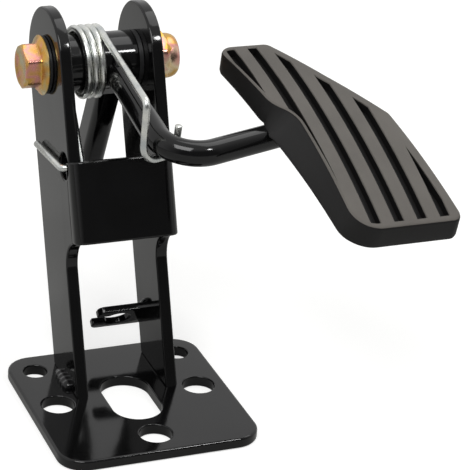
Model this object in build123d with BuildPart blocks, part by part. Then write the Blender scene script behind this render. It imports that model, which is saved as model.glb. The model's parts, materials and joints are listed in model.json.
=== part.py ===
"""Floor-mounted accelerator pedal with a leaning bracket, a sprung pivot and an offset rubber pad.

Millimetres, +Z up. The origin is midway between the side holes, on the underside of the base plate.
X runs along the pivot bolt, Y points to the back, away from the driver's foot.
"""
import os
from math import acos, atan2, cos, degrees, hypot, radians, sin, tan

from build123d import *

# Base plate
plate_width = 73.2
plate_depth = 75.2
plate_thickness = 4.0
plate_front = 39.3
plate_corner = 9.5
plate_edge = 1.0
side_hole_inset = 10.1
front_hole_inset = 11.5
large_hole = 11.8
back_hole_inset_x = 9.3
back_hole_inset_y = 11.1
small_hole = 8.8
slot_width = 18.0
slot_length = 30.5
slot_y = -2.1

# Bracket
lean = 21.4
foot_y = -2.4
sheet = 4.4
bracket_width = 38.0
leg_front = -9.4
leg_back = 28.8
leg_lower_front = 3.4
leg_height = 121.4
pivot_along = 9.2
pivot_up = 120.0
web_front = -13.0
web_bottom = 57.2
web_top = 86.1
relief_radius = 10.0
bend_radius = 4.8
anchor_hole = 9.5
anchor_y = -3.2
anchor_z = 84.6

# Cable fork
fork_tilt = 48.0
fork_x = 4.0
fork_y = 28.6
fork_z = 22.0
fork_thickness = 2.5
fork_width = 15.6
fork_reach = 8.6
fork_bore = 9.6
fork_slit = 6.4
fork_corner = 2.5

# Pivot
bolt_diameter = 10.0
hole_clearance = 0.2
hex_flats = 15.0
head_height = 9.4
flange_diameter = 21.8
flange_thickness = 2.4
nut_flats = 17.0
nut_height = 10.3
nut_collar = 4.2
insert_thickness = 2.2
sleeve_wall = 1.5
running_clearance = 0.05
bush_wall = 1.5
bush_length = 9.0
bush_flange = 1.5
end_clearance = 0.2
tube_wall = 2.0

# Pedal arm, in the plane through the pivot that drops towards the front
rest_angle = 9.5
rod_diameter = 9.0
arm_x = 4.6
arm_corner_y = -67.9
arm_turn = 104.1
arm_bend = 13.0
arm_end = 61.0

# Cable lever
lever_angle = 24.5
lever_x = 6.5
lever_length = 58.0
lever_width = 9.0
lever_depth = 10.0
lever_sheet = 2.0
lever_pin_hole = 6.0
lever_slot = 3.4

# Pad
crown_radius = 274.0
crown_y = -34.0
pad_seat_y = -55.0
pad_thickness = 8.6
cover_thickness = 6.3
pad_plate_thickness = 2.0
skirt_wall = 3.0
pad_back_y = -18.8
pad_front_y = -117.6
pad_back_left = 36.4
pad_back_right = 56.2
pad_waist_left = 42.4
pad_waist_y = -56.5
pad_hip_left = 49.0
pad_hip_y = -63.8
pad_flank_left = 41.6
flank_start = 1.0
pad_front_left = 50.4
pad_front_right = 88.9
pad_knee_right = 82.0
pad_knee_y = -67.5
pad_corner = 5.5
groove_first = 41.2
groove_pitch = 8.34
groove_count = 6
groove_width = 3.3
groove_depth = 3.2
groove_margin = 2.4
groove_shift = -1.1

# Return spring
wire_diameter = 2.5
coil_clearance = 0.6
coil_turns = 3
coil_lead = 3
coil_pitch = 2.6
coil_right_x = 0.6
hook_x = -2.0
hook_top_y = -55.5
hook_rise = 16.4
hook_low_y = -58.0
hook_bend = 6.0
wire_gap = 0.2
stub_x = 11.3
stub_y = -53.6
stub_rise = 5.0
tail_gap = 0.3
tail_y = -5.6
tail_z = 84.0
tail_end_y = 22.0
tail_end_z = 92.0
wire_bend = 2.6
tail_bend = 2.0

# Weld beads
leg_bead = 3.0
leg_bead_inset = 7.0
rod_bead = 2.0
fork_bead = 2.5

# Places worked out from the sizes above
lean_c, lean_s = cos(radians(lean)), sin(radians(lean))
rest_c, rest_s = cos(radians(rest_angle)), sin(radians(rest_angle))
plate_y = plate_depth / 2 - plate_front
side_hole_x = plate_width / 2 - side_hole_inset
front_hole_y = plate_front - front_hole_inset
back_hole_x = plate_width / 2 - back_hole_inset_x
back_hole_y = plate_depth - plate_front - back_hole_inset_y
foot = Vector(0, foot_y, plate_thickness)
leg_side = Plane(origin=foot, x_dir=(0, lean_c, -lean_s), z_dir=(1, 0, 0))
leg_plan = Plane(origin=foot, x_dir=(1, 0, 0), z_dir=(0, lean_s, lean_c))
top_radius = (leg_back - leg_front) / 2
top_along = (leg_back + leg_front) / 2
pivot = leg_side.from_local_coords(Vector(pivot_along, pivot_up, 0))
pedal_side = Plane(origin=pivot, x_dir=(0, rest_c, rest_s), z_dir=(1, 0, 0))
pedal_plan = Plane(origin=pivot, x_dir=(1, 0, 0), z_dir=(0, -rest_s, rest_c))
pivot_side = Plane(origin=pivot, x_dir=(0, 1, 0), z_dir=(1, 0, 0))
inner_x = bracket_width / 2 - sheet
outer_x = bracket_width / 2
rod_radius = rod_diameter / 2
wire_radius = wire_diameter / 2
sleeve_bore = bolt_diameter + hole_clearance
sleeve_od = sleeve_bore + 2 * sleeve_wall
bush_bore = sleeve_od + 2 * running_clearance
tube_bore = bush_bore + 2 * bush_wall
tube_od = tube_bore + 2 * tube_wall
tube_half = inner_x - end_clearance - bush_flange
leg_reach = leg_height + top_radius
foot_drop = leg_back * tan(radians(lean)) + plate_thickness

os.makedirs("parts", exist_ok=True)


def save(piece, name):
    """Names a finished piece and writes its STEP file."""
    piece.part.label = name
    export_step(piece.part, f"parts/{name}.step")


# Base plate
with BuildPart() as base_plate:
    with BuildSketch():
        with Locations((0, plate_y)):
            RectangleRounded(plate_width, plate_depth, plate_corner)
        with Locations((-side_hole_x, 0), (side_hole_x, 0), (0, -front_hole_y)):
            Circle(large_hole / 2, mode=Mode.SUBTRACT)
        with Locations((-back_hole_x, back_hole_y), (back_hole_x, back_hole_y)):
            Circle(small_hole / 2, mode=Mode.SUBTRACT)
        with Locations((0, slot_y)):
            SlotOverall(slot_length, slot_width, rotation=90, mode=Mode.SUBTRACT)
    extrude(amount=plate_thickness)
    fillet(base_plate.faces().sort_by(Axis.Z)[-1].outer_wire().edges(), radius=plate_edge)
save(base_plate, "base_plate")

# Bracket, one folded sheet: two legs and a front web
with BuildPart() as bracket:
    with BuildSketch(leg_side):
        with BuildLine():
            Line((leg_back, -foot_drop), (leg_back, leg_height))
            ThreePointArc((leg_back, leg_height), (top_along, leg_reach), (leg_front, leg_height))
            Line((leg_front, leg_height), (leg_front, web_top))
            Line((leg_front, web_top), (web_front, web_top))
            Line((web_front, web_top), (web_front, web_bottom))
            Line((web_front, web_bottom), (leg_lower_front - relief_radius, web_bottom))
            RadiusArc(
                (leg_lower_front - relief_radius, web_bottom),
                (leg_lower_front, web_bottom - relief_radius),
                relief_radius,
            )
            Line((leg_lower_front, web_bottom - relief_radius), (leg_lower_front, -foot_drop))
            Line((leg_lower_front, -foot_drop), (leg_back, -foot_drop))
        make_face()
        with Locations((pivot_along, pivot_up)):
            Circle((bolt_diameter + hole_clearance) / 2, mode=Mode.SUBTRACT)
    extrude(amount=outer_x, both=True)
    inside_depth = leg_back - web_front
    with BuildSketch(leg_plan.offset(-2 * foot_drop)):
        with Locations((0, web_front + sheet + inside_depth / 2)):
            Rectangle(2 * inner_x, inside_depth)
    extrude(amount=leg_reach + 3 * foot_drop, mode=Mode.SUBTRACT)
    with BuildSketch(leg_plan.offset(web_top)):
        with Locations((0, web_front + sheet / 2)):
            Rectangle(2 * inner_x, 3 * sheet)
    extrude(amount=leg_reach, mode=Mode.SUBTRACT)
    with BuildSketch(leg_plan.offset(web_bottom)):
        for side in (-1, 1):
            with Locations((side * (outer_x - bend_radius / 2), web_front + bend_radius / 2)):
                Rectangle(bend_radius, bend_radius)
            with Locations((side * (outer_x - bend_radius), web_front + bend_radius)):
                Circle(bend_radius, mode=Mode.SUBTRACT)
    extrude(amount=web_top - web_bottom, mode=Mode.SUBTRACT)
    with BuildSketch(leg_side.offset(-outer_x)):
        with Locations((anchor_y, anchor_z)):
            Circle(anchor_hole / 2)
    extrude(amount=sheet, mode=Mode.SUBTRACT)
    split(bisect_by=Plane.XY.offset(plate_thickness), keep=Keep.TOP)
save(bracket, "bracket")

# Weld beads along the outside of both feet
bead_front = foot_y + leg_lower_front / lean_c + leg_bead_inset
bead_length = (leg_back - leg_lower_front) / lean_c - 2 * leg_bead_inset
for side, name in ((-1, "left_leg_weld"), (1, "right_leg_weld")):
    with BuildPart() as leg_weld:
        with BuildSketch(Plane.XZ.offset(-bead_front)):
            with BuildLine():
                Line((side * outer_x, plate_thickness), (side * (outer_x + leg_bead), plate_thickness))
                RadiusArc(
                    (side * (outer_x + leg_bead), plate_thickness),
                    (side * outer_x, plate_thickness + leg_bead),
                    side * 1.4 * leg_bead,
                )
                Line((side * outer_x, plate_thickness + leg_bead), (side * outer_x, plate_thickness))
            make_face()
        extrude(amount=-bead_length)
    save(leg_weld, name)

# Cable fork on the right leg
fork_plane = Plane(
    origin=(fork_x, fork_y, fork_z),
    x_dir=(1, 0, 0),
    z_dir=(0, sin(radians(fork_tilt)), cos(radians(fork_tilt))),
)
fork_root = inner_x - fork_x
with BuildPart() as cable_fork:
    with BuildSketch(fork_plane):
        with Locations(((fork_root - fork_reach) / 2, 0)):
            blank = Rectangle(fork_root + fork_reach, fork_width)
        fillet(blank.vertices().group_by(Axis.X)[0], radius=fork_corner)
        Circle(fork_bore / 2, mode=Mode.SUBTRACT)
        with Locations((-fork_reach / 2, 0)):
            Rectangle(fork_reach, fork_slit, mode=Mode.SUBTRACT)
    extrude(amount=-fork_thickness)
save(cable_fork, "cable_fork")

# Weld bead where the fork meets the leg
fork_edge = Plane(origin=fork_plane.origin, x_dir=(1, 0, 0), z_dir=-fork_plane.y_dir)
with BuildPart() as fork_weld:
    with BuildSketch(fork_edge.offset(-fork_width / 2)):
        with BuildLine():
            Line((fork_root, 0), (fork_root - fork_bead, 0))
            RadiusArc((fork_root - fork_bead, 0), (fork_root, fork_bead), 1.4 * fork_bead)
            Line((fork_root, fork_bead), (fork_root, 0))
        make_face()
    extrude(amount=fork_width)
save(fork_weld, "fork_weld")

# Pivot bolt with a flanged hexagon head at the left
bolt_end = outer_x + nut_height - 1.0
with BuildPart() as pivot_bolt:
    with BuildSketch(pivot_side.offset(-outer_x - flange_thickness)):
        Circle(flange_diameter / 2)
    extrude(amount=flange_thickness)
    chamfer(pivot_bolt.edges().sort_by(Axis.X)[0], length=flange_thickness / 2, length2=flange_thickness)
    with BuildSketch(pivot_side.offset(-outer_x - head_height)):
        RegularPolygon(hex_flats / 2, 6, major_radius=False)
    extrude(amount=head_height)
    chamfer(pivot_bolt.faces().sort_by(Axis.X)[0].edges(), length=0.8)
    with BuildSketch(pivot_side.offset(-outer_x)):
        Circle(bolt_diameter / 2)
    extrude(amount=outer_x + bolt_end)
    chamfer(pivot_bolt.edges().sort_by(Axis.X)[-1], length=1.0)
save(pivot_bolt, "pivot_bolt")

# Lock nut with its nylon ring at the right
collar_radius = nut_flats / 2 - 0.2
insert_radius = bolt_diameter / 2 + 1.6
insert_x = outer_x + nut_height - 0.9 - insert_thickness
with BuildPart() as lock_nut:
    with BuildSketch(pivot_side.offset(outer_x)):
        RegularPolygon(nut_flats / 2, 6, major_radius=False)
    extrude(amount=nut_height - nut_collar)
    with BuildSketch(pivot_side.offset(outer_x + nut_height - nut_collar)):
        Circle(collar_radius)
    extrude(amount=nut_collar)
    fillet(lock_nut.edges().sort_by(Axis.X)[-1], radius=0.75 * nut_collar)
    with BuildSketch(pivot_side.offset(outer_x)):
        Circle(bolt_diameter / 2)
    extrude(amount=nut_height, mode=Mode.SUBTRACT)
    with BuildSketch(pivot_side.offset(insert_x)):
        Circle(insert_radius)
    extrude(amount=insert_thickness, mode=Mode.SUBTRACT)
save(lock_nut, "lock_nut")

with BuildPart() as nut_insert:
    with BuildSketch(pivot_side.offset(insert_x)):
        Circle(insert_radius)
        Circle(bolt_diameter / 2, mode=Mode.SUBTRACT)
    extrude(amount=insert_thickness)
save(nut_insert, "nut_insert")

# Spacer sleeve that the bolt clamps between the legs
with BuildPart() as spacer_sleeve:
    with BuildSketch(pivot_side.offset(-inner_x)):
        Circle(sleeve_od / 2)
        Circle(sleeve_bore / 2, mode=Mode.SUBTRACT)
    extrude(amount=2 * inner_x)
save(spacer_sleeve, "spacer_sleeve")

# Flanged bushes pressed into the ends of the tube
for side, name in ((-1, "left_bush"), (1, "right_bush")):
    with BuildPart() as bush:
        with BuildSketch(pivot_side.offset(side * tube_half)):
            Circle(tube_od / 2)
            Circle(bush_bore / 2, mode=Mode.SUBTRACT)
        extrude(amount=side * bush_flange)
        with BuildSketch(pivot_side.offset(side * tube_half)):
            Circle(tube_bore / 2)
            Circle(bush_bore / 2, mode=Mode.SUBTRACT)
        extrude(amount=-side * bush_length)
    save(bush, name)

# Pivot tube
with BuildPart() as pivot_tube:
    with BuildSketch(pivot_side.offset(-tube_half)):
        Circle(tube_od / 2)
        Circle(tube_bore / 2, mode=Mode.SUBTRACT)
    extrude(amount=2 * tube_half)
save(pivot_tube, "pivot_tube")

# Pedal arm, a bent round rod coped to the tube
arm_heading = radians(arm_turn - 90)
arm_tip = (arm_x + arm_end * cos(arm_heading), arm_corner_y + arm_end * sin(arm_heading))
with BuildPart() as pedal_arm:
    with BuildLine(pedal_plan):
        FilletPolyline((arm_x, 0), (arm_x, arm_corner_y), arm_tip, radius=arm_bend)
    with BuildSketch(Plane(origin=pedal_plan.from_local_coords((arm_x, 0)), z_dir=-pedal_plan.y_dir)):
        Circle(rod_radius)
    sweep()
    with BuildSketch(pivot_side.offset(-inner_x)):
        Circle(tube_od / 2)
    extrude(amount=2 * inner_x, mode=Mode.SUBTRACT)
save(pedal_arm, "pedal_arm")

# Weld bead round the arm's root, on the side away from the coil
arm_root = Plane(
    origin=pedal_plan.from_local_coords((arm_x, -tube_od / 2 - rod_bead)),
    z_dir=pedal_plan.y_dir,
)
with BuildPart() as arm_weld:
    with BuildSketch(arm_root):
        Circle(rod_radius + 0.3)
    extrude(amount=tube_od / 2, taper=-25)
    with BuildSketch(arm_root):
        Circle(rod_radius)
    extrude(amount=tube_od / 2 + rod_bead, mode=Mode.SUBTRACT)
    with BuildSketch(pivot_side.offset(-inner_x)):
        Circle(tube_od / 2)
    extrude(amount=2 * inner_x, mode=Mode.SUBTRACT)
    split(bisect_by=Plane.YZ.offset(coil_right_x + wire_diameter), keep=Keep.TOP)
save(arm_weld, "arm_weld")

# Cable lever, a folded channel open to the back
lever_dir = Vector(0, sin(radians(lever_angle)), -cos(radians(lever_angle)))
lever_side = Plane(origin=pivot + Vector(lever_x, 0, 0), x_dir=lever_dir, z_dir=(1, 0, 0))
lever_plan = Plane(origin=lever_side.origin, x_dir=(1, 0, 0), z_dir=lever_dir)
with BuildPart() as cable_lever:
    with BuildSketch(lever_side):
        with Locations((lever_length / 2, 0)):
            Rectangle(lever_length, lever_depth)
        with Locations((lever_length, 0)):
            Circle(lever_depth / 2)
            Circle(lever_pin_hole / 2, mode=Mode.SUBTRACT)
    extrude(amount=lever_width / 2, both=True)
    with BuildSketch(lever_plan):
        with Locations((0, -lever_sheet)):
            Rectangle(lever_width - 2 * lever_sheet, lever_depth)
    extrude(amount=lever_length + lever_depth, mode=Mode.SUBTRACT)
    with BuildSketch(lever_plan.offset(lever_length - lever_pin_hole)):
        with Locations((0, lever_depth / 2)):
            Rectangle(lever_slot, 2 * lever_sheet + 1)
    extrude(amount=2 * lever_depth, mode=Mode.SUBTRACT)
    with BuildSketch(pivot_side.offset(-inner_x)):
        Circle(tube_od / 2)
    extrude(amount=2 * inner_x, mode=Mode.SUBTRACT)
save(cable_lever, "cable_lever")

# Weld bead round the lever's root
with BuildPart() as lever_weld:
    with BuildSketch(lever_plan.offset(tube_od / 2 + rod_bead)):
        Rectangle(lever_width + 0.4, lever_depth + 0.4)
    extrude(amount=-2.2 * rod_bead, taper=-20)
    with BuildSketch(lever_plan):
        Rectangle(lever_width, lever_depth)
    extrude(amount=lever_length, mode=Mode.SUBTRACT)
    with BuildSketch(pivot_side.offset(-inner_x)):
        Circle(tube_od / 2)
    extrude(amount=2 * inner_x, mode=Mode.SUBTRACT)
save(lever_weld, "lever_weld")

# Pad: rubber cover with grooves on a curved steel plate
def crown_drop(along):
    """How far the pad's crown has fallen at a place along the pedal."""
    return crown_radius - (crown_radius**2 - (along - crown_y) ** 2) ** 0.5


crown_height = rod_radius + pad_plate_thickness + cover_thickness + crown_drop(pad_seat_y)
crown_centre = (crown_y, crown_height - crown_radius)
pad_drop = 40.0
pad_sweep = 2 * pad_front_right


with BuildSketch() as pad_shape:
    with BuildLine():
        FilletPolyline(
            (pad_back_left, pad_back_y),
            (pad_back_right, pad_back_y),
            (pad_knee_right, pad_knee_y),
            (pad_front_right, pad_front_y),
            (pad_front_left, pad_front_y),
            (pad_hip_left, pad_hip_y),
            (pad_waist_left, pad_waist_y),
            radius=pad_corner,
            close=True,
        )
    make_face()

with BuildSketch() as plate_shape:
    add(pad_shape.sketch)
    offset(amount=-skirt_wall, mode=Mode.REPLACE)

with BuildSketch() as groove_shape:
    for number in range(groove_count):
        with Locations((groove_first + number * groove_pitch, (pad_back_y + pad_front_y) / 2)):
            Rectangle(groove_width, pad_back_y - pad_front_y)
    groove_field = offset(pad_shape.sketch, amount=-groove_margin, mode=Mode.PRIVATE)
    add(groove_field.moved(Location((groove_shift, 0, 0))), mode=Mode.INTERSECT)


def curved_band(top, bottom):
    """Draws the ring between two depths under the pad's crown."""
    with Locations(crown_centre):
        Circle(crown_radius - top)
        Circle(crown_radius - bottom, mode=Mode.SUBTRACT)


with BuildPart() as pad_plate:
    with BuildSketch(pedal_plan.offset(crown_height)):
        add(plate_shape.sketch)
    extrude(amount=-pad_drop)
    with BuildSketch(pedal_side):
        curved_band(cover_thickness, cover_thickness + pad_plate_thickness)
    extrude(amount=pad_sweep, mode=Mode.INTERSECT)
save(pad_plate, "pad_plate")

with BuildPart() as pad_cavity:
    with BuildSketch(pedal_plan.offset(crown_height)):
        add(plate_shape.sketch)
    extrude(amount=-pad_drop)
    with BuildSketch(pedal_side):
        curved_band(cover_thickness, pad_thickness + 1)
    extrude(amount=pad_sweep, mode=Mode.INTERSECT)

with BuildPart() as pad_grooves:
    with BuildSketch(pedal_plan.offset(crown_height)):
        add(groove_shape.sketch)
    extrude(amount=-pad_drop)
    with BuildSketch(pedal_side):
        curved_band(-1, groove_depth)
    extrude(amount=pad_sweep, mode=Mode.INTERSECT)

# Sloping flank that widens the skirt's left side round the arm
hip_height = crown_height - crown_drop(pad_hip_y)
front_height = crown_height - crown_drop(pad_front_y)
hip_rim = pedal_plan.from_local_coords(Vector(pad_hip_left, pad_hip_y, hip_height - flank_start))
hip_foot = pedal_plan.from_local_coords(Vector(pad_flank_left, pad_hip_y, hip_height - pad_thickness))
front_rim = pedal_plan.from_local_coords(Vector(pad_front_left, pad_front_y, front_height - flank_start))
flank_normal = (hip_foot - hip_rim).cross(front_rim - hip_rim)
with BuildPart() as pad_flank:
    with BuildSketch(pedal_plan.offset(crown_height)):
        with BuildLine():
            Polyline(
                (pad_waist_left, pad_waist_y),
                (pad_flank_left, pad_hip_y),
                (pad_front_left, pad_front_y + pad_corner),
                (pad_front_left + skirt_wall, pad_front_y + pad_corner),
                (pad_hip_left + skirt_wall, pad_waist_y),
                close=True,
            )
        make_face()
    extrude(amount=-pad_drop)
    with BuildSketch(pedal_side):
        curved_band(0, pad_thickness)
    extrude(amount=pad_sweep, mode=Mode.INTERSECT)
    split(bisect_by=Plane(origin=hip_rim, z_dir=flank_normal), keep=Keep.BOTTOM)

with BuildPart() as rubber_pad:
    with BuildSketch(pedal_plan.offset(crown_height)):
        add(pad_shape.sketch)
    extrude(amount=-pad_drop)
    with BuildSketch(pedal_side):
        curved_band(0, pad_thickness)
    extrude(amount=pad_sweep, mode=Mode.INTERSECT)
    add(pad_flank.part)
    add(pad_cavity.part, mode=Mode.SUBTRACT)
    add(pad_grooves.part, mode=Mode.SUBTRACT)
    arm_mid = pedal_plan.from_local_coords((arm_x, arm_corner_y))
    arm_across = pedal_plan.x_dir * cos(arm_heading) + pedal_plan.y_dir * sin(arm_heading)
    with BuildSketch(Plane(origin=arm_mid, z_dir=arm_across)):
        Circle(rod_radius + hole_clearance)
    extrude(amount=arm_end, mode=Mode.SUBTRACT)
save(rubber_pad, "rubber_pad")

# Weld bead along the front of the arm under the pad plate
pad_weld_start = (pad_hip_left + 2 * skirt_wall - arm_x) / cos(arm_heading)
pad_weld_plane = Plane(
    origin=arm_mid + arm_across * pad_weld_start,
    x_dir=pedal_plan.z_dir,
    z_dir=arm_across,
)
with BuildPart() as pad_weld:
    with BuildSketch(pad_weld_plane):
        with Locations((rod_radius - rod_bead / 2, -rod_radius / 2)):
            Rectangle(rod_bead, rod_radius)
        Circle(rod_radius, mode=Mode.SUBTRACT)
    extrude(amount=arm_end - pad_weld_start)
    add(pad_plate.part, mode=Mode.SUBTRACT)
save(pad_weld, "pad_weld")

# Return spring: a wire wound on the tube, anchored in the left leg and hooked under the arm
coil_radius = tube_od / 2 + coil_clearance + wire_radius
under = rod_radius + wire_radius + wire_gap


def leg_point(x, along, up):
    """Point given across, along and up the bracket's legs."""
    return leg_side.from_local_coords(Vector(along, up, x))


def pedal_point(x, along, up):
    """Point given across, along and above the arm's plane."""
    return pedal_side.from_local_coords(Vector(along, up, x))


def tangent_angle(point, way):
    """Angle at which a straight wire from the point meets the coil."""
    gap = point - pivot
    return degrees(atan2(gap.Z, gap.Y)) - way * degrees(acos(coil_radius / hypot(gap.Y, gap.Z)))


tail_end = leg_point(-outer_x - wire_radius - tail_gap, tail_end_y, tail_end_z)
anchor_out = leg_point(-outer_x - wire_radius - tail_gap, tail_y, tail_z)
anchor_in = leg_point(-inner_x + wire_radius + tail_gap, tail_y, tail_z)
hook_top = pedal_point(hook_x, hook_top_y, hook_rise)
hook_low = pedal_point(hook_x, hook_low_y, -under)
stub_low = pedal_point(stub_x, stub_y, -under)
stub_top = pedal_point(stub_x, stub_y, stub_rise)
hook_drop = hook_top + (hook_low - hook_top) * 0.4
hook_across = hook_low + (stub_low - hook_low) * 0.6
coil_end = tangent_angle(hook_top, 1) + 360 * coil_turns
coil_start = tangent_angle(anchor_in, -1)
coil_steps = 24 * coil_turns


def coil_point(angle):
    swing = radians(angle)
    across = coil_right_x - coil_pitch * (coil_end - angle) / 360
    return pivot + Vector(across, coil_radius * cos(swing), coil_radius * sin(swing))


coil_stride = (coil_end - coil_start) / coil_steps
coil_path = [coil_point(coil_start + coil_stride * step) for step in range(coil_steps + 1)]
lead_in = (anchor_in - coil_path[0]).normalized()
lead_out = (hook_top - coil_path[-1]).normalized()
coil_path.insert(0, coil_path[0] + lead_in * coil_lead)
coil_path.insert(0, coil_path[0] + lead_in * coil_lead)
coil_path.append(coil_path[-1] + lead_out * coil_lead)
coil_path.append(coil_path[-1] + lead_out * coil_lead)
with BuildPart() as return_spring:
    with BuildLine() as spring_wire:
        FilletPolyline(tail_end, anchor_out, anchor_in, coil_path[0], radius=tail_bend)
        Spline(*coil_path, tangents=(-lead_in, lead_out))
        FilletPolyline(coil_path[-1], hook_top, hook_drop, radius=wire_bend)
        FilletPolyline(hook_drop, hook_low, hook_across, radius=hook_bend)
        FilletPolyline(hook_across, stub_low, stub_top, radius=wire_bend)
    with BuildSketch(Plane(origin=tail_end, z_dir=anchor_out - tail_end)):
        Circle(wire_radius)
    sweep(path=spring_wire.wires()[0])
save(return_spring, "return_spring")
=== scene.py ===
"""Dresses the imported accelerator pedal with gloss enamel, zinc hardware, spring wire and ribbed rubber."""

import json
from math import acos, atan2, copysign, cos, degrees, hypot, pi, radians, sin, sqrt, tan

import bmesh
import bpy
from mathutils import Matrix, Vector, noise


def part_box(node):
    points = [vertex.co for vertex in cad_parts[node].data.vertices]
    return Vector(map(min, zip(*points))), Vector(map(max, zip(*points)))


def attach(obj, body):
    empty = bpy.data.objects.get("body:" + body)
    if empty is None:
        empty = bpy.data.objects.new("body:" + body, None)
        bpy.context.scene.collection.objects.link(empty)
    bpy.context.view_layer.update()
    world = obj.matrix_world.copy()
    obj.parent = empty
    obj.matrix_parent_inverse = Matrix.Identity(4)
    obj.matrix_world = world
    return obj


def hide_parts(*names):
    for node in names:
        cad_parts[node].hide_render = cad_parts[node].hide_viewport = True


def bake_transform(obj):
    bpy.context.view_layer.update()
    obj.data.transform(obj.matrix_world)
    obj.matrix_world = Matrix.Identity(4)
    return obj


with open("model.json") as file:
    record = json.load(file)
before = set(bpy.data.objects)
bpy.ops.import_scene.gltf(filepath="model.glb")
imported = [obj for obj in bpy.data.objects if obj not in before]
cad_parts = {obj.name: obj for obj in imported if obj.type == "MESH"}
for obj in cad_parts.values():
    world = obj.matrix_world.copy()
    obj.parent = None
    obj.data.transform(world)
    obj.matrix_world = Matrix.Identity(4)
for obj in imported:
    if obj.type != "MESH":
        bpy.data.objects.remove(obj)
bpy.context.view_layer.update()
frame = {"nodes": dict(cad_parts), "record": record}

bl_info = {
    "name": "Accelerator Pedal",
    "version": (1, 0, 0),
    "blender": (4, 5, 0),
    "location": "View3D > Sidebar > Pedal",
    "description": "Builds the visible pieces of a floor-mounted accelerator pedal round its CAD frame",
    "category": "Object",
}

MM = 0.001
STAND = "stand"
PEDAL = "pedal"
PIVOT = Vector(frame["record"]["behaviour"]["joints"][0]["pos_m"])
PLATE_LOW, PLATE_HIGH = (Vector(corner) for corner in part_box("base_plate"))
BRACKET_HIGH = Vector(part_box("bracket")[1])
ACROSS = Vector((1, 0, 0))
WHITE = (1, 1, 1, 1)
ENAMEL = "black_stove_enamel"
WIRE = "bright_zinc_wire"
NYLON = "moulded_nylon"


def linear(code):
    """Turns an sRGB hex colour into linear RGBA."""
    parts = [int(code[at:at + 2], 16) / 255 for at in (1, 3, 5)]
    return [c / 12.92 if c <= 0.04045 else ((c + 0.055) / 1.055) ** 2.4 for c in parts] + [1.0]


def length(label, size, text):
    """A length whose default is given in millimetres."""
    return bpy.props.FloatProperty(
        name=label, description=text, default=size * MM, precision=5, subtype="DISTANCE", unit="LENGTH"
    )


def turn(label, angle, text):
    """An angle whose default is given in degrees."""
    return bpy.props.FloatProperty(
        name=label, description=text, default=radians(angle), subtype="ANGLE", unit="ROTATION"
    )


def shade(label, code, text):
    """A colour whose default is given as sRGB hex."""
    return bpy.props.FloatVectorProperty(
        name=label, description=text, default=linear(code), size=4, min=0.0, max=1.0, subtype="COLOR"
    )


def tally(label, number, text):
    """A whole number of like features."""
    return bpy.props.IntProperty(name=label, description=text, default=number, min=1, max=12)


class PlateSizes(bpy.types.PropertyGroup):
    """Sizes of the base plate."""

    corner: length("Corner", 9.5, "Radius of the plate's corners")
    edge: length("Edge", 0.9, "Rounding of the outer edge")
    hole_edge: length("Hole edge", 0.45, "Rounding of the holes' edges")
    side_hole_x: length("Side holes", 26.5, "Distance of the side holes from the middle")
    front_hole_y: length("Front hole", 27.8, "Distance of the front hole from the side holes' line")
    large_hole: length("Large holes", 11.8, "Diameter of the side and front holes")
    back_hole_x: length("Back holes across", 27.3, "Distance of the back holes from the middle")
    back_hole_y: length("Back holes along", 24.8, "Distance of the back holes from the side holes' line")
    small_hole: length("Small holes", 8.8, "Diameter of the back holes")
    slot_width: length("Slot width", 18.0, "Width of the slot for the cable")
    slot_length: length("Slot length", 30.5, "Length of the slot for the cable")
    slot_y: length("Slot place", -2.1, "Middle of the slot along the plate")


class BracketSizes(bpy.types.PropertyGroup):
    """Sizes of the folded bracket and the cable fork on it."""

    lean: turn("Lean", 21.4, "How far the legs lean back")
    foot_y: length("Foot", -2.4, "Where the legs' own line meets the plate")
    sheet: length("Sheet", 4.4, "Thickness of the folded sheet")
    edge: length("Edge", 0.8, "Rounding of the painted edges")
    front: length("Front", -9.4, "Front edge of the legs above the web")
    back: length("Back", 28.8, "Back edge of the legs")
    lower_front: length("Lower front", 3.4, "Front edge of the legs below the web")
    height: length("Height", 121.4, "Middle of the legs' round tops, up the legs")
    pivot_along: length("Pivot along", 9.2, "Place of the pivot along the leg's depth")
    pivot_up: length("Pivot up", 120.0, "Place of the pivot up the legs")
    web_front: length("Web front", -13.0, "Front face of the web")
    web_bottom: length("Web bottom", 57.2, "Lower edge of the web")
    web_top: length("Web top", 86.1, "Upper edge of the web")
    relief: length("Relief", 10.0, "Radius where the legs step back below the web")
    bend: length("Bend", 4.8, "Outer radius of the folds")
    pivot_hole: length("Pivot hole", 10.2, "Diameter of the holes for the bolt")
    anchor_hole: length("Anchor hole", 9.5, "Diameter of the hole that holds the spring's tail")
    anchor_y: length("Anchor along", -3.2, "Place of that hole along the leg's depth")
    anchor_z: length("Anchor up", 84.6, "Place of that hole up the leg")
    fork_tilt: turn("Fork tilt", 48.0, "How far the fork's face leans back from level")
    fork_x: length("Fork across", 4.0, "Middle of the fork's bore across the bracket")
    fork_y: length("Fork along", 28.6, "Middle of the fork's bore along the plate")
    fork_z: length("Fork up", 22.0, "Middle of the fork's bore above the floor")
    fork_thickness: length("Fork thickness", 2.5, "Thickness of the fork")
    fork_width: length("Fork width", 15.6, "Width over both prongs")
    fork_reach: length("Fork reach", 8.6, "Length of the prongs from the bore's middle")
    fork_bore: length("Fork bore", 9.6, "Diameter of the seat for the cable's ferrule")
    fork_slit: length("Fork slit", 6.4, "Gap between the prongs")
    fork_corner: length("Fork corner", 2.5, "Radius of the prongs' outer corners")


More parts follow.
